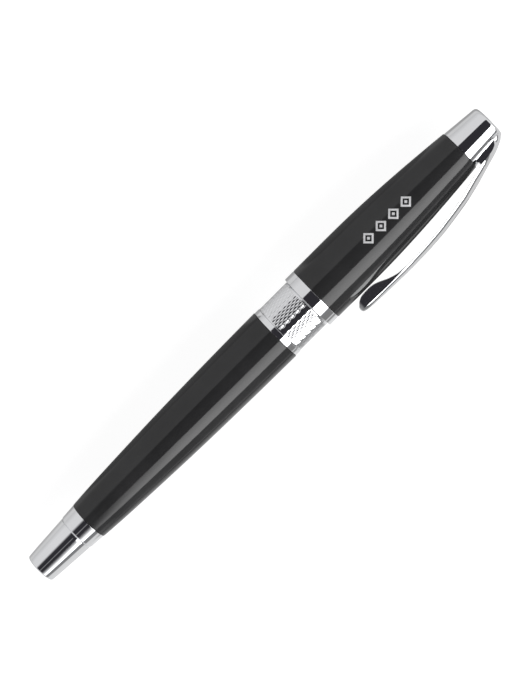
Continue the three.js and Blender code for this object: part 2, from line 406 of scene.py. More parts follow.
def piece(ob, body, mat, slot, *nodes):
    ob.data.materials.clear()
    ob.data.materials.append(mat)
    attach(ob, body)
    if nodes:
        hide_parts(*nodes)
    made.append(ob)
    return ob


# ------------------------------------------------------------------ camera
# The camera looks down on the pen, a little from the clip's side, with the cap's end
# nearer to it; the pen runs from the lower left to the upper right of the frame.
TILT, TURN, ROLL = math.radians(3.6), math.radians(10.0), math.radians(44.914)
DIST = 0.535
toward = Vector((math.sin(TILT), -math.cos(TILT) * math.sin(TURN),
                 math.cos(TILT) * math.cos(TURN)))
along = (Vector((1, 0, 0)) - toward * toward.x).normalized()
across = along.cross(toward)
right = along * math.cos(ROLL) + across * math.sin(ROLL)
up = along * math.sin(ROLL) - across * math.cos(ROLL)
aim = Vector(world(69.93, 0, 0)) - across * 0.000027
cam_data = bpy.data.cameras.new("camera")
cam_data.lens = 2475 / 689 * 36
cam_data.sensor_width = 36
cam_data.clip_start, cam_data.clip_end = 0.01, 20
cam = bpy.data.objects.new("camera", cam_data)
bpy.context.scene.collection.objects.link(cam)
m = Matrix((right, up, toward)).transposed().to_4x4()
m.translation = aim + toward * DIST
cam.matrix_world = m
bpy.context.scene.camera = cam

# ------------------------------------------------------------------ barrel
BARREL_OUT = [(15.75, 4.765), (19, 4.985), (29.9, 5.515), (40.9, 5.93), (51.8, 6.205),
              (62.7, 6.385), (73.04, 6.48)]
BARREL_IN = [(20.7, 4.13), (29.9, 4.6), (40.9, 4.98), (51.8, 5.2), (59.9, 5.25)]
b_out = spline(BARREL_OUT, 60)
b_in = spline(BARREL_IN, 24)


profile = ([(15.75, 3.95), (15.75, 4.69), (15.80, 4.755)] + b_out[1:-1]
           + [(73.0, 6.478), (73.035, 6.455), (73.04, 6.42), (73.04, 5.36), (60, 5.36)]
           + b_in[::-1] + [(20.7, 3.95)])
piece(turned("barrel_shell_lacquered", profile, 160), "barrel", M_LACQUER,
      "black_lacquer", "barrel_shell")

profile = rounded([(73.06, 5.36), (73.06, 6.37, 0.18), (74.48, 6.37, 0.12), (74.48, 5.36)])
piece(turned("barrel_trim_ring_plated", profile, 160), "barrel", M_CHROME,
      "chrome_plate", "barrel_trim_ring")


# Centre band: plain rims and, between them, an engraving of waves that cross and uncross
# round the band, each pair enclosing a row of lens-shaped cuts made with a V tool. The engraving is
# cut in four panels, with a narrow plain land left between one panel and the next.
def engraved_band(name, x0, x1, r_in, r, rim_lo, rim_hi, rows=88, wave=1.51, depth=0.0635,
                  land=3, first=0.0):
    e0, e1 = x0 + rim_lo, x1 - rim_hi
    nx = int(round((e1 - e0) / wave * 16))
    per_row = 12
    segs = rows * per_row
    pitch = 2 * math.pi * r / rows
    amp = 0.30
    line = 0.08  # share of a gap taken by the raised line
    panel = rows // 4
    outer = [(x0, r_in), (x0, r - 0.05), (x0 + 0.02, r - 0.012), (x0 + 0.05, r),
             (e0 - 0.02, r), (e0, r - 0.012)]
    grid = [(e0 + (e1 - e0) * (k + 0.5) / nx, None) for k in range(nx)]
    tail = [(e1, r - 0.012), (e1 + 0.02, r), (x1 - 0.24, r), (x1 - 0.20, r - 0.010),
            (x1 - 0.01, r - 0.11), (x1, r - 0.13), (x1, r_in)]
    rows_of = outer + grid + tail
    verts, rings = [], []
    for x, rr in rows_of:
        ring = []
        for j in range(segs):
            a = 2 * math.pi * j / segs + first
            rad = rr
            if rad is None:
                s = j / per_row  # position round the band, in rows
                w = math.sin(2 * math.pi * (x - e0) / wave) * amp
                # the lines near this point: even ones wave one way, odd ones the other
                k = math.floor(s)
                near = [(i, i + (w if i % 2 == 0 else -w)) for i in (k - 1, k, k + 1, k + 2)]
                i_lo, lo = max((v for v in near if v[1] <= s), key=lambda v: v[1])
                hi = min(v[1] for v in near if v[1] > s)
                gap = hi - lo
                u = abs((s - (lo + hi) / 2) / (gap / 2))
                side = i_lo % rows
                bow, deep = (1.20, 1.0) if panel <= side < 2 * panel else (1.10, 1.0)
                if i_lo % panel == panel - land - 1 and s > (lo + hi) / 2:
                    bow = 2.6  # the last row before a land is cut steeply on that side
                dish = max(0.0, 1 - (u / (1 - line)) ** bow) * gap * deep
                if i_lo % panel >= panel - land:
                    dish = 0.0
                edge = max(0.0, min(1.0, (x - e0) / 0.10, (e1 - x) / 0.10))
                rad = r - 0.008 - depth * dish * edge
            ring.append(len(verts))
            verts.append(world(x, -rad * math.sin(a), rad * math.cos(a)))
        rings.append(ring)
    faces = []
    for i in range(len(rings)):
        p, q = rings[i], rings[(i + 1) % len(rings)]
        for j in range(segs):
            k = (j + 1) % segs
            faces.append([p[j], p[k], q[k], q[j]])
    return finish_mesh(name, verts, faces, sharp=40, weighted=False)


ROW = 2 * math.pi / 88
piece(engraved_band("center_band_engraved", 74.5, 82.82, 5.36, 6.26, 0.2, 0.40,
                    first=math.radians(12.2) - 19 * ROW), "barrel",
      M_BAND, "engraved_chrome", "center_band")

PITCH = 0.75


def thread(depth, x0, x1):
    """Radius change of a right-hand thread between x0 and x1, run out at both ends."""
    def f(x, a, r):
        if x <= x0 or x >= x1:
            return r
        t = (x / PITCH - a / (2 * math.pi)) % 1.0
        tri = abs(2 * t - 1)
        fade = min(1, (x - x0) / PITCH, (x1 - x) / PITCH)
        return r + depth * fade * min(1, max(0, tri * 1.5 - 0.25))
    return f


inside = [(x, 4.76) for x in np.arange(82.2, 75.0, -0.075)]
profile = ([(60.1, 4.9), (60.1, 5.28), (82.7, 5.28), (82.7, 4.86), (82.55, 4.76)] + inside
           + [(60.3, 4.76)])


def insert_thread(x, a, r):
    return thread(0.3, 75.2, 82.3)(x, a, r) if r < 4.8 else r


piece(turned("barrel_thread_insert_turned", profile, 96, insert_thread), "barrel", M_BRASS,
      "brass", "barrel_thread_insert")

# ------------------------------------------------------------------ tail
profile = rounded([(12.0, 3.95), (12.0, 4.445, 0.12), (15.71, 4.705, 0.03), (15.71, 3.95)])
piece(turned("tail_collar_plated", profile, 144), "barrel", M_CHROME, "chrome_plate",
      "tail_collar")

cone = spline([(1.05, 3.60), (1.6, 3.655), (4.6, 3.88), (8.1, 4.10), (11.35, 4.30)], 32)
edge = [(0.64 + 0.40 * (1 - math.cos(t)), 3.22 + 0.375 * math.sin(t))
        for t in np.linspace(0.0, math.pi / 2, 11)]
profile = ([(0.62, 0.0), (0.62, 1.6), (0.625, 2.6), (0.632, 3.05)] + edge[:-1] + cone
           + [(11.745, 4.308), (11.96, 4.14), (11.96, 3.97),
              (11.55, 3.92), (11.55, 3.2), (5.5, 3.2), (5.5, 0.0)])
piece(turned("tail_plug_plated", profile, 144), "barrel", M_CHROME, "chrome_plate",
      "tail_plug")

profile = rounded([(5.6, 2.68), (5.6, 3.15, 0.1), (11.65, 3.15), (11.65, 3.85, 0.05),
                   (20.6, 3.85, 0.2), (20.6, 3.3), (12.6, 3.3), (12.6, 2.68)])
piece(turned("tail_bush_turned", profile, 96), "barrel", M_CHROME, "chrome_plate",
      "tail_bush")


def spring(name, x0, x1, r, wire, turns, per_turn=40, sides=14):
    """Compression spring with closed ends."""
    n = int(turns * per_turn)
    verts, faces = [], []
    for i in range(n + 1):
        t = i / n
        a = 2 * math.pi * turns * t
        # one closed turn at each end
        e = 1 / turns
        close = wire * 2.06
        if t < e:
            x = x0 + close * (t / e)
        elif t > 1 - e:
            x = x1 - close * ((1 - t) / e)
        else:
            u = (t - e) / (1 - 2 * e)
            x = x0 + close + (x1 - x0 - 2 * close) * u
        c = Vector((x, r * math.cos(a), r * math.sin(a)))
        radial = Vector((0, math.cos(a), math.sin(a)))
        ax = Vector((1, 0, 0))
        for k in range(sides):
            b = 2 * math.pi * k / sides
            p = c + (radial * math.cos(b) + ax * math.sin(b)) * wire
            verts.append(world(*p))
    for i in range(n):
        for k in range(sides):
            j = (k + 1) % sides
            faces.append([i * sides + k, i * sides + j, (i + 1) * sides + j,
                          (i + 1) * sides + k])
    faces.append([k for k in range(sides)][::-1])
    faces.append([n * sides + k for k in range(sides)])
    return finish_mesh(name, verts, faces, sharp=50)


sp = spring("refill_spring_wound", 5.8, 12.7, 2.15, 0.22, 6.5)
sp.data.materials.append(M_STEEL)
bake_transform(sp)
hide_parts("refill_spring")

# ------------------------------------------------------------------ refill
profile = rounded([(13.0, 2.82), (13.0, 3.1, 0.1), (99.0, 3.1), (99.3, 3.02, 0.05),
                   (100.0, 3.02, 0.05), (100.3, 3.1), (103.9, 3.1, 0.1), (103.9, 2.82)])
piece(turned("refill_tube_drawn", profile, 96), "refill", M_REFILL, "refill_steel",
      "refill_tube")
profile = rounded([(13.1, 0), (13.1, 2.2, 0.1), (13.5, 2.76, 0.1), (16, 2.76, 0.2), (16, 0)])
piece(turned("refill_end_plug_moulded", profile, 72), "refill", M_WHITE, "white_plastic",
      "refill_end_plug")
profile = rounded([(17, 0), (17, 2.74, 0.3), (100.2, 2.74, 0.3), (100.2, 0)])
piece(turned("ink_reservoir_fibre", profile, 72), "refill", M_INK, "ink_fibre",
      "ink_reservoir")
profile = rounded([(101, 0.76), (101, 2.76, 0.1), (103.95, 2.76), (103.95, 3.1, 0.05),
                   (106, 3.1, 0.25), (106, 2.6, 0.1), (116.2, 1.95, 0.2), (117.9, 1.8, 0.15),
                   (117.9, 0.76)])
piece(turned("refill_nose_moulded", profile, 96), "refill", M_DARK, "dark_plastic",
      "refill_nose")
profile = rounded([(100.5, 0), (100.5, 0.65, 0.1), (115.8, 0.65, 0.3), (115.8, 0)])
piece(turned("refill_feed_wick", profile, 48), "refill", M_WHITE, "white_plastic",
      "refill_feed")
profile = rounded([(116, 0), (116, 0.7, 0.1), (118.0, 0.7), (118.0, 1.25, 0.12),
                   (120.6, 1.25, 0.25), (123.0, 0.62, 0.3), (123.78, 0.49, 0.06),
                   (123.80, 0.385), (123.25, 0.385), (123.25, 0)])
piece(turned("tip_cone_turned", profile, 72), "refill", M_REFILL, "refill_steel", "tip_cone")


def ball_mesh(name, x, r):
    bm = bmesh.new()
    bmesh.ops.create_cube(bm, size=1)
    bmesh.ops.subdivide_edges(bm, edges=bm.edges, cuts=11, use_grid_fill=True)
    for v in bm.verts:
        v.co = v.co.normalized() * r * MM + Vector(world(x, 0, 0))
    me = bpy.data.meshes.new(name)
    bm.to_mesh(me)
    bm.free()
    me.polygons.foreach_set("use_smooth", [True] * len(me.polygons))
    ob = bpy.data.objects.new(name, me)
    bpy.context.scene.collection.objects.link(ob)
    return ob


piece(ball_mesh("writing_ball_ground", 123.68, 0.35), "writing_ball", M_BALL, "refill_steel",
      "writing_ball")

# ------------------------------------------------------------------ section
outside = [(x, 4.64) for x in np.arange(74.2, 82.9, 0.075)]
profile = ([(66, 3.95), (66, 4.42), (66.22, 4.64)] + outside
           + [(95.8, 4.64), (96, 4.44), (96, 3.95)])


def sleeve_thread(x, a, r):
    if r < 4.5:
        return r
    return r - 0.26 + thread(0.26, 74.3, 82.4)(x, a, 0) if 74.3 < x < 82.4 else r


piece(turned("section_thread_sleeve_turned", profile, 96, sleeve_thread), "section", M_BRASS,
      "brass", "section_thread_sleeve")
profile = rounded([(82.88, 4.72), (82.88, 5.55, 0.1), (85.4, 5.55, 0.12), (85.4, 4.72)])
piece(turned("section_shoulder_ring_plated", profile, 128), "section", M_CHROME,
      "chrome_plate", "section_shoulder_ring")
grip = spline([(87.9, 5.44), (90, 5.37), (95, 5.11), (100, 4.88), (105, 4.70),
               (108.5, 4.66), (110.8, 4.72), (111.85, 4.68)], 50)
profile = ([(87.55, 4.72), (87.55, 5.33), (87.6, 5.40), (87.72, 5.435)] + grip
           + [(111.95, 4.65), (112.0, 4.58), (112, 3.98), (107.8, 3.98), (107.8, 3.34),
              (96.15, 3.34), (96.15, 4.72)])
piece(turned("grip_section_lacquered", profile, 144), "section", M_GRIP, "grip_black",
      "grip_section")
nose = spline([(112.55, 4.40), (116, 3.22), (119.2, 2.09)], 20)
profile = (rounded([(108, 3.34), (108, 3.9, 0.1), (112.1, 3.9)])
           + [(112.1, 4.36), (112.14, 4.41), (112.22, 4.43), (112.4, 4.425)] + nose
           + [(119.42, 1.99), (119.55, 1.88), (119.6, 1.74), (119.6, 1.56), (119.55, 1.5),
              (118.25, 1.5), (118.25, 2.1), (112.5, 3.34)])
piece(turned("nose_cone_plated", profile, 128), "section", M_CHROME, "chrome_plate",
      "nose_cone")


def clutch(name):
    """Split spring ring of half-round section, its two ends square cut."""
    gap, n = math.radians(8.5), 120
    sect = rounded([(85.6, 5.02), (85.6, 5.5, 0.18), (86.5, 5.63, 0.5), (87.4, 5.5, 0.18),
                    (87.4, 5.02)], 4)
    verts, faces = [], []
    for j in range(n + 1):
        a = gap + (2 * math.pi - 2 * gap) * j / n
        for x, r in sect:
            verts.append(world(x, r * math.cos(a), r * math.sin(a)))
    k = len(sect)
    for j in range(n):
        for i in range(k):
            q = (i + 1) % k
            faces.append([j * k + i, j * k + q, (j + 1) * k + q, (j + 1) * k + i])
    faces.append(list(range(k)))
    faces.append([n * k + i for i in range(k)][::-1])
    return finish_mesh(name, verts, faces)


piece(clutch("clutch_ring_split"), "clutch_ring", M_STEEL, "spring_steel", "clutch_ring")

# ------------------------------------------------------------------ cap
profile = rounded([(82.88, 5.72), (82.88, 6.9, 0.13), (85.52, 6.9, 0.11), (85.52, 6.03),
                   (89.5, 6.03), (89.5, 5.72, 0.1)])
piece(turned("cap_lip_ring_plated", profile, 160), "cap", M_CHROME, "chrome_plate",
      "cap_lip_ring")

CAP_OUT = [(85.7, 6.922), (91, 6.924), (97.3, 6.912), (101.5, 6.85), (105.8, 6.715),
           (110.1, 6.51), (114.4, 6.245), (118.7, 5.93), (122.9, 5.58), (127.2, 5.20),
           (128.98, 5.03)]
CAP_IN = [(127.9, 4.26), (122, 4.78), (118.7, 5.06), (114.4, 5.36), (110.1, 5.62),
          (105.8, 5.78), (97, 5.86), (89.6, 5.86)]
c_out = spline(CAP_OUT, 70)
c_in = spline(CAP_IN[::-1], 30)[::-1]
profile = ([(85.55, 6.08), (85.55, 6.86), (85.57, 6.905)] + c_out
           + [(129.04, 5.0), (129.05, 4.95), (129.05, 3.86), (127.9, 3.86)] + c_in
           + [(89.6, 6.08)])
piece(turned("cap_shell_lacquered", profile, 160), "cap", M_LACQUER, "black_lacquer",
      "cap_shell")


def cap_radius(x, _f=pchip(CAP_OUT)):
    return _f(x)


profile = rounded([(113.8, 4.06, 0.12), (113.8, 4.6, 0.2), (119.5, 4.6, 0.3), (122.5, 3.75, 0.3),
                   (130.5, 3.75, 0.2), (130.5, 1.2), (129.8, 1.2), (129.8, 3.22, 0.3),
                   (117.4, 3.22), (116.4, 4.06)])
piece(turned("inner_cap_moulded", profile, 112), "cap", M_DARK, "dark_plastic", "inner_cap")


def screw(name):
    """Pan-head screw with a cross recess and a thread."""
    shank = [(x, 1.0) for x in np.arange(129.9, 134.3, 0.05)]
    profile = ([(129.0, 0.0), (129.0, 1.2), (129.06, 1.5), (129.2, 1.78), (129.35, 1.88),
                (129.5, 1.9), (129.75, 1.9)] + shank + [(134.6, 0.72), (134.6, 0.0)])

    def w(x, a, r):
        if 0.9 < r < 1.05 and 129.95 < x < 134.25:
            t = (x / 0.4 - a / (2 * math.pi)) % 1.0
            return r - 0.16 * (1 - abs(2 * t - 1))
        return r
    ob = turned(name, profile, 64, w)
    for turn in (0, 90):
        bm = bmesh.new()
        bmesh.ops.create_cube(bm, size=1)
        for v in bm.verts:
            x, y, z = v.co
            taper = 1.0 if x < 0 else 0.7
            p = Matrix.Rotation(math.radians(turn + 45), 3, "X") @ Vector(
                (x * 0.9, y * 2.0 * taper, z * 0.42 * taper))
            v.co = Vector(world(129.0 + p.x, p.y, p.z))
        me = bpy.data.meshes.new("recess")
        bm.to_mesh(me)
        bm.free()
        c = bpy.data.objects.new("recess", me)
        bpy.context.scene.collection.objects.link(c)
        cut(ob, c)
    return ob


piece(screw("crown_screw_cut"), "cap", M_STEEL, "spring_steel", "crown_screw")

# ------------------------------------------------------------------ clip
CLIP_OUTER = [(89.9, 9.72), (90.05, 9.98), (90.45, 10.19), (91.2, 10.35), (92.95, 10.50),
              (95.1, 10.60), (97.25, 10.66), (99.4, 10.71), (102.6, 10.77), (105.85, 10.73),
              (108, 10.67), (110.15, 10.56), (112.3, 10.41), (114.4, 10.22), (116.6, 9.92),
              (118.7, 9.60), (120.85, 9.25), (123, 8.87), (125.1, 8.40), (127.3, 7.86),
              (129.4, 7.21), (131.5, 6.57), (133.65, 5.92), (134.75, 5.52), (135.8, 5.09),
              (136.85, 4.50), (137.35, 4.10)]
CLIP_INNER = [(89.86, 9.40), (89.95, 9.02), (90.35, 8.56), (90.9, 8.03), (91.5, 7.66),
              (92.1, 7.46), (93.0, 7.34), (94.3, 7.32), (95.6, 7.46), (96.6, 7.79),
              (97.5, 8.2), (98.4, 8.66), (99.3, 9.04), (100.2, 9.34), (101.4, 9.62),
              (103.5, 9.80), (105.7, 9.86), (108.9, 9.75), (112.2, 9.5), (115.4, 9.12),
              (118.6, 8.55), (121.8, 7.95), (125, 7.12), (127.2, 6.52), (130.05, 5.81),
              (131, 5.5)]
CLIP_HALF = [(89.8, 0.50), (90.0, 0.72), (90.5, 0.86), (91.4, 0.94), (93.5, 0.98),
             (96, 1.08), (98.5, 1.22), (102, 1.44), (107, 1.65), (113, 1.79), (120, 1.89),
             (127, 1.91), (132.6, 1.92), (137.5, 1.95)]
CLIP_FLANGE = [(89.8, 0.0), (132.7, 0.0), (133.3, 0.17), (134.2, 0.50), (135.2, 0.64),
               (137.5, 0.70)]
CLIP_ARCH = [(89.86, 0.10), (90.4, 0.36), (91.5, 0.54), (93, 0.61), (97, 0.62), (99.5, 0.66),
             (101.4, 0.72), (103.5, 0.80), (105.7, 0.82), (108.9, 0.82), (112.2, 0.90),
             (115.4, 1.0), (118.6, 1.12), (121.8, 1.20), (125, 1.37), (127.2, 1.42),
             (129, 1.30), (130.2, 1.14), (131.4, 0.88), (132.6, 0.70), (134, 0.54),
             (134.9, 0.60), (135.4, 1.0), (135.9, 1.6), (137.4, 1.6)]


def arch_points(x, w, h, n):
    """From the side (w, 0) up to the middle (0, h): a bevel, a quick turn, then a flat crown."""
    k = min(1.0, w / 1.0)
    bevel = (0.35 + 0.20 * max(0.0, min(1.0, (x - 117) / 6))) * k
    turn = (0.50 + 0.12 * max(0.0, min(1.0, (x - 110) / 6))) * k

    def walk(knots):
        s = np.unique(np.concatenate([np.linspace(knots[i][0], knots[i + 1][0], m)
                                      for i, m in enumerate((41, 41, 81, 41))]))
        ang = np.radians(np.interp(s, [a for a, _ in knots], [b for _, b in knots]))
        ds, mid = np.diff(s), (ang[1:] + ang[:-1]) / 2
        return (np.concatenate([[0], np.cumsum(np.cos(mid) * ds)]),
                np.concatenate([[0], np.cumsum(np.sin(mid) * ds)]))

    def full(top):
        flat = max(0.3, (w - 0.675 * bevel - 0.78 * turn)
                   / math.sin(math.radians((58 + top) / 2)))
        c = bevel + turn
        return walk([(0.0, 40.0), (bevel, 45.0), (c, 58.0), (c + 0.8 * flat, top),
                     (c + flat, 90.0)])
    lo, hi = 58.5, 89.0
    for _ in range(14):
        top = (lo + hi) / 2
        y, z = full(top)
        if y[-1] / z[-1] > h / w:
            lo = top
        else:
            hi = top
    y, z = y * h / y[-1], w - z * w / z[-1]
    pick = np.concatenate([np.linspace(0, 40, 6), np.linspace(40, 80, 8)[1:],
                           np.linspace(80, len(y) - 1, n - 11)[1:]]).round().astype(int)
    return [(float(z[q]), float(y[q])) for q in pick]


def clip_mesh(name):
    outer, inner = pchip(CLIP_OUTER), pchip(CLIP_INNER)
    half, arch, flange = pchip(CLIP_HALF), pchip(CLIP_ARCH), pchip(CLIP_FLANGE)
    crown_r = pchip([(129.35, 4.865), (131.5, 4.67), (134, 4.45), (137.0, 4.18),
                     (137.5, 4.10)])
    xs = list(89.87 + 2.6 * (1 - np.cos(np.linspace(0.0, math.pi / 2, 26))))
    xs += list(np.linspace(92.47, 130.04, 134))[1:]
    xs += list(np.linspace(130.10, 137.35, 44))
    verts, rings = [], []
    for x in xs:
        o, w, fl = outer(x), half(x), flange(x)
        b = inner(x) if x < 130.06 else 3.62
        thin = 0.14 * max(0.0, min(1.0, (x - 100) / 4)) if x < 130.06 else 0.0
        h = min(arch(x), (o - b) * 0.93, o - b - thin)
        wide = w + fl
        e = min(0.07, (o - h - b) * 0.4, w * 0.2)
        belly = 0.05 * max(0.0, min(1, (99.5 - x) / 3.5))  # the nose is rounded underneath
        foot = b + belly + e
        if fl > 0.001:  # the root's flange lies flush with the crown
            rc = crown_r(x) + 0.02
            f_out = max(math.sqrt(max(rc * rc - wide * wide, 0)), foot + 0.03)
            f_in = max(math.sqrt(rc * rc - w * w), f_out)
        else:
            f_out = f_in = foot
        s = max(o - h, f_in + 0.001)
        h = o - s
        right = [(wide, foot), (wide, (foot + f_out) / 2), (wide, f_out)]
        for k in range(1, 4):
            z = wide - fl * k / 4
            right.append((z, f_out + (f_in - f_out) * k / 4))
        right.append((w, f_in))
        near = min(0.04, (s - f_in) / 5)
        for r in (f_in + near, (f_in + s) / 2, s - near):
            right.append((w, r))
        pts = []
        n = 10
        for k in range(n + 1):  # underside
            z = -(wide - e) + 2 * (wide - e) * k / n
            pts.append((z, b + belly * (z / wide) ** 2))
        for k in range(1, 4):  # lower corner
            t = k / 4 * math.pi / 2
            pts.append((wide - e + e * math.sin(t), b + belly + e - e * math.cos(t)))
        pts += right
        curve = [(z, s + r) for z, r in arch_points(x, w, h, 24)]
        pts += curve[:-1]
        pts += [(-z, r) for z, r in curve[::-1]]
        pts += [(-z, r) for z, r in right[::-1]]
        for k in range(3, 0, -1):
            t = k / 4 * math.pi / 2
            pts.append((-(wide - e) - e * math.sin(t), b + belly + e - e * math.cos(t)))
        ring = []
        for z, r in pts:
            ring.append(len(verts))
            verts.append(world(x, -r, z))
        rings.append(ring)
    faces = []
    n = len(rings[0])
    for p, q in zip(rings, rings[1:]):
        for j in range(n):
            k = (j + 1) % n
            faces.append([p[j], p[k], q[k], q[j]])
    for ring, flip in ((rings[0], True), (rings[-1], False)):
        c = len(verts)
        verts.append(tuple(np.mean([verts[v] for v in ring], axis=0)))
        for j in range(n):
            k = (j + 1) % n
            faces.append([c, ring[k], ring[j]] if flip else [c, ring[j], ring[k]])
    return finish_mesh(name, verts, faces, sharp=38)


def prism(name, outline, y0, y1, axis="y"):
    """Closed prism: an (x, z) outline standing along y, or an (x, r) outline along z."""
    verts, n = [], len(outline)
    for t in (y0, y1):
        for a, b in outline:
            verts.append(world(a, t, b) if axis == "y" else world(a, -b, t))
    faces = [list(range(n)), list(range(n, 2 * n))[::-1]]
    for i in range(n):
        j = (i + 1) % n
        faces.append([i, i + n, j + n, j])
    return finish_mesh(name, verts, faces, weighted=False)


clip = clip_mesh("clip_sprung")
tang = prism("tang", [(135.45, 3.9), (135.45, 2.32), (131.1, 2.32), (131.1, 2.72), (133.2, 2.72),
                      (133.2, 3.9)], -1.38, 1.38, axis="z")
join_solid(clip, tang)
piece(clip, "clip", M_CLIP, "clip_chrome", "clip")

# ------------------------------------------------------------------ crown
side = spline([(129.35, 4.865), (131.5, 4.67), (134, 4.45), (137.0, 4.18)], 26)
profile = ([(129.12, 3.9), (129.12, 4.80), (129.15, 4.85), (129.22, 4.868)] + side
           + [(137.0 + 0.98 * math.sin(t), 4.18 - 0.80 * (1 - math.cos(t)) - 0.05 * math.sin(t))
              for t in np.linspace(0.12, math.pi / 2, 10)]
           + [(138.0, 3.1), (138.0, 0.0), (136.2, 0.0), (136.2, 3.46), (130.7, 3.46),
              (130.7, 3.9)])
crown = turned("cap_crown_plated", profile, 160)
half, flange = pchip(CLIP_HALF), pchip(CLIP_FLANGE)
xs = [129.92, 131, 132, 132.7, 133.0, 133.3, 133.7, 134.2, 134.7, 135.2, 136, 137, 137.48]
upper = [(x, half(x) + flange(x) + 0.09) for x in xs]
slot = prism("slot", upper + [(x, -z) for x, z in upper[::-1]], -7.0, -3.3)
cut(crown, slot)
cut(crown, prism("tang_slot", [(130.85, -1.6), (135.85, -1.6), (135.85, 1.6), (130.85, 1.6)],
                 -4.0, -1.0))
piece(crown, "cap", M_CHROME, "chrome_plate", "cap_crown")

core = turned("crown_core_turned", rounded([(130.62, 1.1), (130.62, 3.4, 0.15),
                                            (136.1, 3.4, 0.15), (136.1, 1.1)]), 96)
cut(core, prism("flat", [(130, -4), (137, -4), (137, 4), (130, 4)], -6.0, -2.02))
piece(core, "cap", M_BRASS, "brass", "crown_core")


# ------------------------------------------------------------------ imprint on the cap
def imprint(name):
    """A short row of plain open lozenges, a thin inlay that follows the cap."""
    verts, faces = [], []
    lift, sink = 0.010, 0.03

    def place(x, s, dr):
        r = cap_radius(x)
        a = s / r  # arc length round the cap, measured from the top towards the clip
        return world(x, -(r + dr) * math.sin(a), (r + dr) * math.cos(a))

    def ring(outline_a, outline_b):
        """Closed band between two outlines with the same number of points."""
        base = len(verts)
        n = len(outline_a)
        for dr in (lift, -sink):
            for o in (outline_a, outline_b):
                for x, s in o:
                    verts.append(place(x, s, dr))
        A, B, C, D = (base + i * n for i in range(4))
        for i in range(n):
            j = (i + 1) % n
            faces.append([A + i, A + j, B + j, B + i])
            faces.append([C + i, D + i, D + j, C + j])
            faces.append([A + i, C + i, C + j, A + j])
            faces.append([B + i, B + j, D + j, D + i])

    def patch(outline):
        base, n = len(verts), len(outline)
        for dr in (lift, -sink):
            for x, s in outline:
                verts.append(place(x, s, dr))
        faces.append([base + i for i in range(n)])
        faces.append([base + n + i for i in range(n)][::-1])
        for i in range(n):
            j = (i + 1) % n
            faces.append([base + i, base + n + i, base + n + j, base + j])

    def lozenge(cx, cs, hx, hs, n=6):
        c = [(cx - hx, cs), (cx, cs + hs), (cx + hx, cs), (cx, cs - hs)]
        out = []
        for i in range(4):
            p, q = c[i], c[(i + 1) % 4]
            for k in range(n):
                t = k / n
                out.append((p[0] + (q[0] - p[0]) * t, p[1] + (q[1] - p[1]) * t))
        return out

    mid = 0.70
    for i in range(4):
        cx = 101.95 + i * 3.7
        ring(lozenge(cx, mid, 1.55, 1.55), lozenge(cx, mid, 0.95, 0.95))
        patch(lozenge(cx, mid, 0.42, 0.42, 2))
    return finish_mesh(name, verts, faces, sharp=30, weighted=False)


piece(imprint("cap_imprint"), "cap", M_IMPRINT, None)

# ------------------------------------------------------------------ floor and studio
def plane(name, x0, y0, x1, y1, z):
    me = bpy.data.meshes.new(name)
    me.from_pydata([(x0, y0, z), (x1, y0, z), (x1, y1, z), (x0, y1, z)], [], [(0, 1, 2, 3)])
    ob = bpy.data.objects.new(name, me)
    bpy.context.scene.collection.objects.link(ob)
    return ob


def floor_material():
    mt = bpy.data.materials.new("pale_floor")
    mt.use_nodes = True
    t = mt.node_tree
    p = t.nodes["Principled BSDF"]
    co = t.nodes.new("ShaderNodeTexCoord")
    n = t.nodes.new("ShaderNodeTexNoise")
    n.inputs["Scale"].default_value = 35
    t.links.new(co.outputs["Object"], n.inputs["Vector"])
    r = t.nodes.new("ShaderNodeValToRGB")
    r.color_ramp.elements[0].color = (0.33, 0.33, 0.33, 1)
    r.color_ramp.elements[1].color = (0.36, 0.36, 0.36, 1)
    t.links.new(n.outputs["Fac"], r.inputs["Fac"])
    t.links.new(r.outputs["Color"], p.inputs["Base Color"])
    p.inputs["Roughness"].default_value = 0.9
    p.inputs["Specular IOR Level"].default_value = 0.1
    p.inputs["Emission Color"].default_value = (1, 1, 1, 1)
    p.inputs["Emission Strength"].default_value = 0.86
    return mt


floor = plane("floor", -3, -3, 3, 3, 0.0)
floor.data.materials.append(floor_material())
floor.visible_glossy = False

# reflector lying on the floor, a glowing sheet seen only in the plating and the lacquer that stands
# in for the floor's reflection:
# pale close to the pen and on its far side, grey beyond it on the clip's side; it is cut
# differently beside the tail and beside the clip, and kept dark behind the lacquered lengths. It
# also carries painted shadow: a dip beside the pen on its far side, and a dark patch under the cap
# and clip
card = plane("reflector", -2.5, -2.5, 2.5, 2.5, 0.00003)
card.visible_camera = card.visible_diffuse = card.visible_shadow = False
card.visible_transmission = False
mt = bpy.data.materials.new("reflector")
mt.use_nodes = True
t = mt.node_tree
t.nodes.remove(t.nodes["Principled BSDF"])
em = t.nodes.new("ShaderNodeEmission")
geo = t.nodes.new("ShaderNodeTexCoord")
sep = t.nodes.new("ShaderNodeSeparateXYZ")
t.links.new(geo.outputs["Object"], sep.inputs["Vector"])


def wmath(op, a, b=None):
    n = t.nodes.new("ShaderNodeMath")
    n.operation = op
    for k, v in enumerate((a, b)):
        if v is None:
            continue
        if isinstance(v, (int, float)):
            n.inputs[k].default_value = v
        else:
            t.links.new(v, n.inputs[k])
    return n.outputs["Value"]


def step(v, edge, soft):
    """0 below edge, 1 above it, smooth over soft on each side."""
    n = t.nodes.new("ShaderNodeMapRange")
    n.interpolation_type = "SMOOTHSTEP"
    n.inputs["From Min"].default_value = edge - soft
    n.inputs["From Max"].default_value = edge + soft
    t.links.new(v, n.inputs["Value"])
    return n.outputs["Result"]


def zone(v, a, b, sa, sb):
    return wmath("MULTIPLY", step(v, a, sa), wmath("SUBTRACT", 1.0, step(v, b, sb)))


def blend(f, a, b):
    """a where f is 0, b where f is 1."""
    return wmath("ADD", wmath("MULTIPLY", wmath("SUBTRACT", 1.0, f), a),
                 wmath("MULTIPLY", f, b))


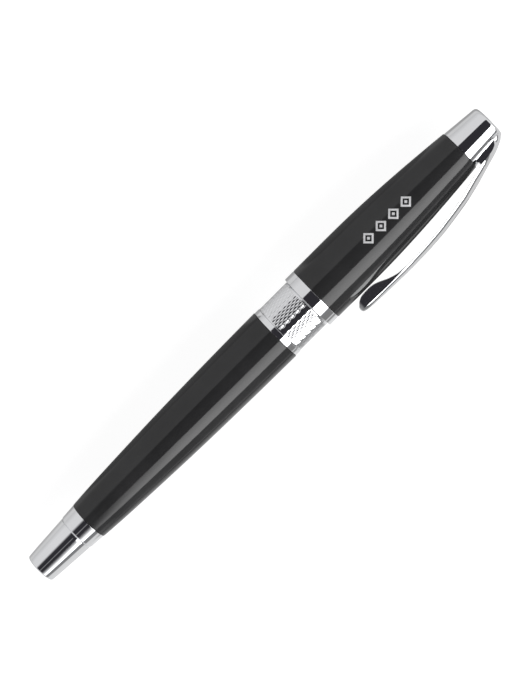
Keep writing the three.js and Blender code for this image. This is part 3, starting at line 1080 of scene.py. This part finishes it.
x_mm = wmath("MULTIPLY", wmath("SUBTRACT", sep.outputs["X"], X0), 1000)
y_mm = wmath("MULTIPLY", wmath("SUBTRACT", sep.outputs["Y"], AY), 1000)


def across_card(points):
    """Level against the distance from the axis, through (mm, level) points."""
    lo, hi = points[0][0], points[-1][0]
    n = t.nodes.new("ShaderNodeMapRange")
    n.inputs["From Min"].default_value = lo
    n.inputs["From Max"].default_value = hi
    t.links.new(y_mm, n.inputs["Value"])
    rp = t.nodes.new("ShaderNodeValToRGB")
    e = rp.color_ramp.elements
    while len(e) < len(points):
        e.new(0.5)
    for k, (pos, v) in enumerate(points):
        e[k].position, e[k].color = (pos - lo) / (hi - lo), (v, v, v, 1)
    t.links.new(n.outputs["Result"], rp.inputs["Fac"])
    return rp.outputs["Color"]


# in each row the level dips to about 0.35 to 0.45 between 5 and 12 mm on the far side, a painted
# contact shadow of the pen on the floor
middle = across_card([(-30, 0.21), (-26.5, 0.22), (-24.2, 0.62), (-22.3, 0.68), (-19.6, 0.26),
                      (-16.8, 0.26), (-13.5, 0.72), (-3, 0.85), (5, 0.42), (12, 0.34),
                      (21, 0.40), (30, 0.62)])
by_clip = across_card([(-62, 0.21), (-55, 0.60), (-13, 0.64), (-3, 0.66), (5, 0.42),
                       (12, 0.34), (21, 0.40), (30, 0.62)])
by_tail = across_card([(-60, 0.21), (-50, 0.50), (-42, 0.66), (-5, 0.72), (1, 0.55),
                       (5, 0.42), (12, 0.45), (30, 0.62)])
level = blend(step(x_mm, 90.5, 2.0), middle, by_clip)
level = blend(step(x_mm, 11.0, 2.0), by_tail, level)
lacquered = wmath("ADD", zone(x_mm, 17, 69.0, 2.0, 1.5), zone(x_mm, 87.5, 126.0, 1.0, 1.5))
level = wmath("MULTIPLY", level, wmath("SUBTRACT", 1.0, wmath(
    "MULTIPLY", wmath("MULTIPLY", lacquered, step(y_mm, 5.5, 2.5)), 0.5)))
# painted shadow: under the cap and clip the reflector drops to 12 % of its level, standing for the
# pen's own shadow on the floor beneath it
painted_shadow_beneath = wmath("MULTIPLY", zone(x_mm, 89.5, 127.5, 1.5, 1.5), zone(y_mm, -11.2, 9.0, 1.2, 3.0))
level = wmath("MULTIPLY", level, wmath("SUBTRACT", 1.0, wmath("MULTIPLY", painted_shadow_beneath, 0.88)))
t.links.new(level, em.inputs["Color"])
t.links.new(em.outputs["Emission"], t.nodes["Material Output"].inputs["Surface"])
card.data.materials.append(mt)

# The studio round the pen, by direction: a pale tent, a dark gap overhead, and one long
# softbox low on the clip's side.
wd = bpy.data.worlds.new("studio")
bpy.context.scene.world = wd
wd.use_nodes = True
t = wd.node_tree
t.nodes.clear()
out = t.nodes.new("ShaderNodeOutputWorld")
co = t.nodes.new("ShaderNodeTexCoord")
sep = t.nodes.new("ShaderNodeSeparateXYZ")
t.links.new(co.outputs["Generated"], sep.inputs["Vector"])


D = math.radians
psi = wmath("ARCTAN2", wmath("MULTIPLY", sep.outputs["Y"], -1.0), sep.outputs["Z"])
ends = wmath("SUBTRACT", 1.0, step(wmath("ABSOLUTE", sep.outputs["X"]), math.sin(D(52)), 0.05))


def ramp(v, a, b, lo=0.0, hi=1.0):
    n = t.nodes.new("ShaderNodeMapRange")
    for k, x in zip(("From Min", "From Max", "To Min", "To Max"), (a, b, lo, hi)):
        n.inputs[k].default_value = x
    t.links.new(v, n.inputs["Value"])
    return n.outputs["Result"]


# towards the tail the softbox and the dark gap beside it are further off and softer
far = ramp(sep.outputs["X"], -0.17, -0.29)
dark_up = wmath("SUBTRACT", 1.0, step(psi, D(38.5), D(1.0)))
dark = wmath("MULTIPLY", blend(far, step(psi, D(-12.5), D(1.0)), step(psi, D(-12.0), D(8))),
             dark_up)
dark = wmath("MULTIPLY", dark, ends)
near_level = wmath("MULTIPLY", step(psi, D(39.0), D(1.2)), ramp(psi, D(38), D(62), 3.0, 4.3))
far_level = wmath("MULTIPLY", wmath("POWER", ramp(psi, D(33), D(70)), 2.2), 1.95)
gleam = wmath("MULTIPLY", zone(psi, D(16.5), D(20.5), D(1.5), D(1.5)),
              wmath("MULTIPLY", ramp(sep.outputs["X"], -0.25, -0.30), 0.22))
softbox = blend(far, near_level, far_level)
# its lower edge is a little higher towards the tail
psi_low = wmath("ADD", psi, wmath("MULTIPLY", far, D(4.2)))
open_side = wmath("SUBTRACT", 1.0, step(psi_low, D(80.2), D(1.2)))
softbox = wmath("MULTIPLY", wmath("MULTIPLY", softbox, open_side), ends)
low = zone(psi_low, D(80.2), D(104), D(1.2), D(2.0))
# the tent dims a little down towards the floor on the far side
far_side = ramp(psi, D(-60), D(-95), 0.0, 1.0)


def wmix(fac, a, b):
    n = t.nodes.new("ShaderNodeMix")
    n.data_type = "RGBA"
    t.links.new(fac, n.inputs[0])
    for k, v in ((6, a), (7, b)):
        if isinstance(v, tuple):
            n.inputs[k].default_value = v
        else:
            t.links.new(v, n.inputs[k])
    return n.outputs[2]


sky = wmix(far_side, (0.70, 0.70, 0.705, 1), (0.52, 0.52, 0.525, 1))
sky = wmix(dark, sky, (0.028, 0.027, 0.032, 1))
sky = wmix(wmath("MULTIPLY", wmath("MULTIPLY", step(psi, D(33), D(1.0)), open_side), ends), sky,
           (0.028, 0.027, 0.032, 1))
sky = wmix(low, sky, (0.21, 0.215, 0.22, 1))
glow = t.nodes.new("ShaderNodeCombineColor")
level = wmath("ADD", softbox, wmath("MULTIPLY", gleam, ends))
for k in range(3):
    t.links.new(level, glow.inputs[k])
add = t.nodes.new("ShaderNodeMix")
add.data_type, add.blend_type = "RGBA", "ADD"
add.inputs[0].default_value = 1.0
t.links.new(sky, add.inputs[6])
t.links.new(glow.outputs["Color"], add.inputs[7])
sky = add.outputs[2]
bg = t.nodes.new("ShaderNodeBackground")
t.links.new(sky, bg.inputs["Color"])
plain = t.nodes.new("ShaderNodeBackground")
plain.inputs["Color"].default_value = (1, 1, 1, 1)
plain.inputs["Strength"].default_value = 1.0
lp = t.nodes.new("ShaderNodeLightPath")
mix = t.nodes.new("ShaderNodeMixShader")
t.links.new(lp.outputs["Is Camera Ray"], mix.inputs["Fac"])
t.links.new(bg.outputs["Background"], mix.inputs[1])
t.links.new(plain.outputs["Background"], mix.inputs[2])
t.links.new(mix.outputs["Shader"], out.inputs["Surface"])

bpy.context.scene.view_settings.view_transform = "Standard"
bpy.context.scene.view_settings.look = "None"
